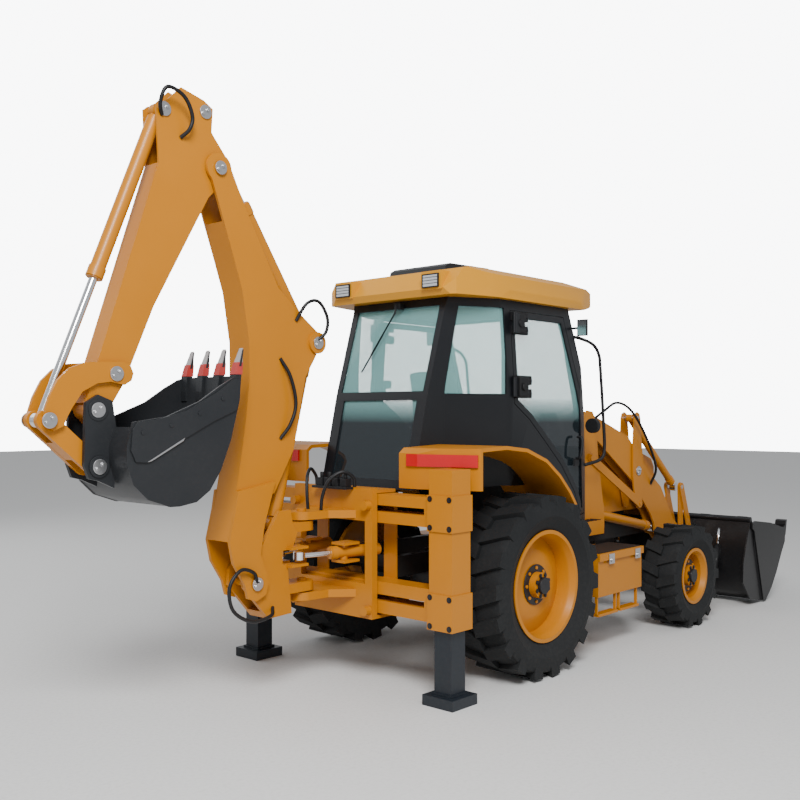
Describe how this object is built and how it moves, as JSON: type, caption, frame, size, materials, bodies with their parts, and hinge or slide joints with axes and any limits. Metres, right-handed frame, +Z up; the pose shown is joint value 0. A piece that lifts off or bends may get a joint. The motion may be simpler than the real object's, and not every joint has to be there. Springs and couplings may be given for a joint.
{
  "type": "backhoe loader",
  "caption": "Four-wheel tractor loader with an enclosed cab, a four-in-one front bucket and a side-shifting rear digging arm folded for travel.",
  "frame": {"origin": "on the ground, under the middle of the machine's length and width", "axes": "+X forward towards the loader bucket, +Y to the machine's left, +Z up"},
  "size_m": [7.9458, 2.295, 3.931],
  "materials": {
    "machine_yellow": "gloss",
    "roof_yellow": "gloss",
    "cab_black": "satin",
    "chassis_grey": "satin",
    "bucket_black": "worn satin",
    "leg_blue_grey": "satin",
    "tyre_rubber": "matt",
    "rod_chrome": "polished",
    "pin_steel": "brushed",
    "window_glass": "clear, tinted",
    "seat_cloth": "woven",
    "trim_plastic": "matt",
    "lamp_red": "gloss",
    "engine_iron": "painted"
  },
  "bodies": {
    "machine": {"chassis_frame": "machine_yellow", "rear_frame": "machine_yellow", "axles": "machine_yellow", "engine_block": "engine_iron", "cab_frame": "cab_black", "cab_roof": "roof_yellow", "cab_glass": "window_glass", "rear_fenders": "machine_yellow", "cab_interior": "trim_plastic", "seat": "seat_cloth", "side_boxes": "machine_yellow", "lamps": "lamp_red"},
    "toolbox_lid": {"toolbox_lid": "machine_yellow"},
    "hood": {"hood": "machine_yellow"},
    "door_left": {"door_left": "cab_black"},
    "door_right": {"door_right": "cab_black"},
    "knuckle_left": {"knuckle_left": "chassis_grey"},
    "knuckle_right": {"knuckle_right": "chassis_grey"},
    "loader_arms": {"loader_arms": "machine_yellow"},
    "lift_barrels": {"lift_barrels": "machine_yellow"},
    "lift_rods": {"lift_rods": "rod_chrome"},
    "tilt_levers": {"tilt_levers": "machine_yellow"},
    "level_bars": {"level_bars": "machine_yellow"},
    "lever_pins": {"lever_pins": "pin_steel"},
    "link_pins": {"link_pins": "pin_steel"},
    "tilt_barrels": {"tilt_barrels": "machine_yellow"},
    "tilt_rods": {"tilt_rods": "rod_chrome"},
    "guide_pins": {"guide_pins": "pin_steel"},
    "guide_levers": {"guide_levers": "machine_yellow"},
    "bucket_links": {"bucket_links": "machine_yellow"},
    "bucket_pins": {"bucket_pins": "pin_steel"},
    "loader_bucket": {"loader_bucket": "bucket_black"},
    "bucket_jaw": {"bucket_jaw": "bucket_black"},
    "carriage": {"carriage": "machine_yellow"},
    "swing_post": {"swing_post": "machine_yellow"},
    "swing_barrel_left": {"swing_barrel_left": "machine_yellow"},
    "swing_barrel_right": {"swing_barrel_right": "machine_yellow"},
    "swing_rod_left": {"swing_rod_left": "rod_chrome"},
    "swing_rod_right": {"swing_rod_right": "rod_chrome"},
    "boom": {"boom": "machine_yellow"},
    "boom_barrel": {"boom_barrel": "machine_yellow"},
    "boom_rod": {"boom_rod": "rod_chrome"},
    "dipper": {"dipper": "machine_yellow"},
    "dipper_barrel": {"dipper_barrel": "machine_yellow"},
    "dipper_rod": {"dipper_rod": "rod_chrome"},
    "bucket_barrel": {"bucket_barrel": "machine_yellow"},
    "bucket_rod": {"bucket_rod": "rod_chrome"},
    "tipping_levers": {"tipping_levers": "machine_yellow"},
    "tipping_link": {"tipping_link": "machine_yellow"},
    "hoe_bucket": {"hoe_bucket": "bucket_black"},
    "stabiliser_left": {"stabiliser_left": "leg_blue_grey"},
    "stabiliser_right": {"stabiliser_right": "leg_blue_grey"},
    "wheel_front_left": {"tyre_front_left": "tyre_rubber", "rim_front_left": "machine_yellow"},
    "wheel_front_right": {"tyre_front_right": "tyre_rubber", "rim_front_right": "machine_yellow"},
    "wheel_rear_left": {"tyre_rear_left": "tyre_rubber", "rim_rear_left": "machine_yellow"},
    "wheel_rear_right": {"tyre_rear_right": "tyre_rubber", "rim_rear_right": "machine_yellow"}
  },
  "joints": [
    {"name": "steer_left", "type": "hinge", "parent": "machine", "child": "knuckle_left", "pos_m": [1.8029, 0.77, 0.4575], "axis": [0, 0, 1], "range_deg": [-35, 35]},
    {"name": "steer_right", "type": "hinge", "parent": "machine", "child": "knuckle_right", "pos_m": [1.8029, -0.77, 0.4575], "axis": [0, 0, 1], "range_deg": [-35.5, 35.5]},
    {"name": "wheel_front_left_spin", "type": "hinge", "parent": "knuckle_left", "child": "wheel_front_left", "pos_m": [1.8029, 0.975, 0.4575], "axis": [0, 1, 0], "continuous": true},
    {"name": "wheel_front_right_spin", "type": "hinge", "parent": "knuckle_right", "child": "wheel_front_right", "pos_m": [1.8029, -0.975, 0.4575], "axis": [0, 1, 0], "continuous": true},
    {"name": "wheel_rear_left_spin", "type": "hinge", "parent": "machine", "child": "wheel_rear_left", "pos_m": [-0.5671, 0.905, 0.67], "axis": [0, 1, 0], "continuous": true},
    {"name": "wheel_rear_right_spin", "type": "hinge", "parent": "machine", "child": "wheel_rear_right", "pos_m": [-0.5671, -0.905, 0.67], "axis": [0, 1, 0], "continuous": true},
    {"name": "door_left_open", "type": "hinge", "parent": "machine", "child": "door_left", "pos_m": [-0.4871, 0.75, 1.9], "axis": [0, 0, 1], "range_deg": [0, 62]},
    {"name": "door_right_open", "type": "hinge", "parent": "machine", "child": "door_right", "pos_m": [-0.4871, -0.75, 1.9], "axis": [0, 0, -1], "range_deg": [0, 62]},
    {"name": "hood_open", "type": "hinge", "parent": "machine", "child": "hood", "pos_m": [0.9329, 0, 1.75], "axis": [0, -1, 0], "range_deg": [0, 45]},
    {"name": "toolbox_lid_open", "type": "hinge", "parent": "machine", "child": "toolbox_lid", "pos_m": [0.6679, -0.672, 0.8], "axis": [-1, 0, 0], "range_deg": [0, 65]},
    {"name": "arms_lift", "type": "hinge", "parent": "machine", "child": "loader_arms", "pos_m": [0.9329, 0, 1.85], "axis": [0, -1, 0], "range_deg": [-2, 77]},
    {"name": "lift_barrels_swing", "type": "hinge", "parent": "machine", "child": "lift_barrels", "pos_m": [1.0329, 0, 1.05], "axis": [0, -1, 0], "range_deg": [-2.28, 69.03]},
    {"name": "lift_rods_slide", "type": "slide", "parent": "lift_barrels", "child": "lift_rods", "axis": [0.9815, 0, -0.1913], "range_m": [-0.02832, 0.97773]},
    {"name": "tilt_levers_level", "type": "hinge", "parent": "loader_arms", "child": "tilt_levers", "pos_m": [1.8179, 0, 1.39], "axis": [0, -1, 0], "range_deg": [-77.5, 2.5]},
    {"name": "level_bars_swing", "type": "hinge", "parent": "machine", "child": "level_bars", "pos_m": [0.9479, 0, 1.54], "axis": [0, -1, 0], "range_deg": [-2.5, 77.5]},
    {"name": "lever_pins_turn", "type": "hinge", "parent": "tilt_levers", "child": "lever_pins", "pos_m": [1.8029, 0, 1.89], "axis": [0, -1, 0], "range_deg": [-2.5, 77.5]},
    {"name": "guide_pins_turn", "type": "hinge", "parent": "loader_arms", "child": "guide_pins", "pos_m": [2.7099, 0, 0.69], "axis": [0, -1, 0], "range_deg": [-77.5, 2.5]},
    {"name": "bucket_pins_turn", "type": "hinge", "parent": "loader_arms", "child": "bucket_pins", "pos_m": [2.8829, 0, 0.25], "axis": [0, -1, 0], "range_deg": [-77.5, 2.5]},
    {"name": "bucket_tilt", "type": "hinge", "parent": "bucket_pins", "child": "loader_bucket", "pos_m": [2.8829, 0, 0.25], "axis": [0, 1, 0], "range_deg": [0, 70]},
    {"name": "guide_levers_swing", "type": "hinge", "parent": "guide_pins", "child": "guide_levers", "pos_m": [2.7099, 0, 0.69], "axis": [0, 1, 0], "range_deg": [-0.5, 70.5]},
    {"name": "link_pins_turn", "type": "hinge", "parent": "guide_levers", "child": "link_pins", "pos_m": [2.6949, 0, 1.19], "axis": [0, -1, 0], "range_deg": [-2.5, 77.5]},
    {"name": "bucket_links_swing", "type": "hinge", "parent": "link_pins", "child": "bucket_links", "pos_m": [2.6949, 0, 1.19], "axis": [0, 1, 0], "range_deg": [-70.5, 0.5]},
    {"name": "tilt_barrels_swing", "type": "hinge", "parent": "lever_pins", "child": "tilt_barrels", "pos_m": [1.8029, 0, 1.89], "axis": [0, 1, 0], "range_deg": [-2.11, 0.5]},
    {"name": "tilt_rods_slide", "type": "slide", "parent": "tilt_barrels", "child": "tilt_rods", "axis": [0.7867, 0, -0.6174], "range_m": [-0.003, 0.57538]},
    {"name": "bucket_jaw_open", "type": "hinge", "parent": "loader_bucket", "child": "bucket_jaw", "pos_m": [3.0879, 0, 0.8], "axis": [0, -1, 0], "range_deg": [0, 80]},
    {"name": "side_shift", "type": "slide", "parent": "machine", "child": "carriage", "axis": [0, 1, 0], "range_m": [-0.46, 0.46]},
    {"name": "swing", "type": "hinge", "parent": "carriage", "child": "swing_post", "pos_m": [-1.9871, 0, 0.96], "axis": [0, 0, 1], "range_deg": [-90, 90]},
    {"name": "swing_barrel_left_turn", "type": "hinge", "parent": "carriage", "child": "swing_barrel_left", "pos_m": [-1.7571, 0.19, 0.96], "axis": [0, 0, 1], "range_deg": [-19.4, 19.4]},
    {"name": "swing_rod_left_slide", "type": "slide", "parent": "swing_barrel_left", "child": "swing_rod_left", "axis": [-0.9701, -0.2425, 0], "range_m": [-0.18364, 0.18364]},
    {"name": "swing_barrel_right_turn", "type": "hinge", "parent": "carriage", "child": "swing_barrel_right", "pos_m": [-1.7571, -0.19, 0.96], "axis": [0, 0, 1], "range_deg": [-19.4, 19.4]},
    {"name": "swing_rod_right_slide", "type": "slide", "parent": "swing_barrel_right", "child": "swing_rod_right", "axis": [-0.9701, 0.2425, 0], "range_m": [-0.18364, 0.18364]},
    {"name": "boom_lower", "type": "hinge", "parent": "swing_post", "child": "boom", "pos_m": [-2.4871, 0, 0.82], "axis": [0, -1, 0], "range_deg": [0, 130]},
    {"name": "boom_barrel_swing", "type": "hinge", "parent": "swing_post", "child": "boom_barrel", "pos_m": [-2.2571, 0, 1.18], "axis": [0, -1, 0], "range_deg": [-0.5, 133.1]},
    {"name": "boom_rod_slide", "type": "slide", "parent": "boom_barrel", "child": "boom_rod", "axis": [0.2499, 0, 0.9683], "range_m": [-0.003, 0.77385]},
    {"name": "dipper_out", "type": "hinge", "parent": "boom", "child": "dipper", "pos_m": [-2.7671, 0, 3.48], "axis": [0, 1, 0], "range_deg": [0, 110]},
    {"name": "dipper_barrel_swing", "type": "hinge", "parent": "boom", "child": "dipper_barrel", "pos_m": [-1.9371, 0, 2.42], "axis": [0, 1, 0], "range_deg": [-0.5, 8.07]},
    {"name": "dipper_rod_slide", "type": "slide", "parent": "dipper_barrel", "child": "dipper_rod", "axis": [-0.549, 0, 0.8358], "range_m": [-0.55938, 0.003]},
    {"name": "hoe_bucket_dump", "type": "hinge", "parent": "dipper", "child": "hoe_bucket", "pos_m": [-3.6201, 0, 1.948], "axis": [0, 1, 0], "range_deg": [0, 160]},
    {"name": "tipping_levers_swing", "type": "hinge", "parent": "dipper", "child": "tipping_levers", "pos_m": [-3.5001, 0, 2.158], "axis": [0, 1, 0], "range_deg": [-0.5, 103.54]},
    {"name": "tipping_link_swing", "type": "hinge", "parent": "tipping_levers", "child": "tipping_link", "pos_m": [-3.9181, 0, 1.891], "axis": [0, 1, 0], "range_deg": [-46.74, 0.5]},
    {"name": "bucket_barrel_swing", "type": "hinge", "parent": "dipper", "child": "bucket_barrel", "pos_m": [-3.1581, 0, 3.77], "axis": [0, 1, 0], "range_deg": [-0.5, 1.78]},
    {"name": "bucket_rod_slide", "type": "slide", "parent": "bucket_barrel", "child": "bucket_rod", "axis": [-0.375, 0, -0.927], "range_m": [-0.824, 0.003]},
    {"name": "stabiliser_left_lift", "type": "slide", "parent": "machine", "child": "stabiliser_left", "axis": [0, 0, 1], "range_m": [-0.12, 0.35]},
    {"name": "stabiliser_right_lift", "type": "slide", "parent": "machine", "child": "stabiliser_right", "axis": [0, 0, 1], "range_m": [-0.12, 0.35]}
  ],
  "couplings": [
    {"joint": "steer_right", "follows": "steer_left", "ratio": 1},
    {"joint": "lift_barrels_swing", "follows": "arms_lift", "ratio": 0.89},
    {"joint": "lift_rods_slide", "follows": "arms_lift", "m_per_rad": 0.7253},
    {"joint": "tilt_levers_level", "follows": "arms_lift", "ratio": -1},
    {"joint": "level_bars_swing", "follows": "arms_lift", "ratio": 1},
    {"joint": "lever_pins_turn", "follows": "arms_lift", "ratio": 1},
    {"joint": "guide_pins_turn", "follows": "arms_lift", "ratio": -1},
    {"joint": "bucket_pins_turn", "follows": "arms_lift", "ratio": -1},
    {"joint": "guide_levers_swing", "follows": "bucket_tilt", "ratio": 1},
    {"joint": "link_pins_turn", "follows": "arms_lift", "ratio": 1},
    {"joint": "bucket_links_swing", "follows": "bucket_tilt", "ratio": -1},
    {"joint": "tilt_barrels_swing", "follows": "bucket_tilt", "ratio": -0.023},
    {"joint": "tilt_rods_slide", "follows": "bucket_tilt", "m_per_rad": 0.4685},
    {"joint": "swing_barrel_left_turn", "follows": "swing", "ratio": 0.21},
    {"joint": "swing_rod_left_slide", "follows": "swing", "m_per_rad": 0.115},
    {"joint": "swing_barrel_right_turn", "follows": "swing", "ratio": 0.21},
    {"joint": "swing_rod_right_slide", "follows": "swing", "m_per_rad": -0.115},
    {"joint": "boom_barrel_swing", "follows": "boom_lower", "ratio": 1.02},
    {"joint": "boom_rod_slide", "follows": "boom_lower", "m_per_rad": 0.33974},
    {"joint": "dipper_barrel_swing", "follows": "dipper_out", "ratio": 0.0688},
    {"joint": "dipper_rod_slide", "follows": "dipper_out", "m_per_rad": -0.2898},
    {"joint": "tipping_levers_swing", "follows": "hoe_bucket_dump", "ratio": 0.644},
    {"joint": "tipping_link_swing", "follows": "hoe_bucket_dump", "ratio": -0.289},
    {"joint": "bucket_barrel_swing", "follows": "hoe_bucket_dump", "ratio": 0.008},
    {"joint": "bucket_rod_slide", "follows": "hoe_bucket_dump", "m_per_rad": -0.294}
  ]
}
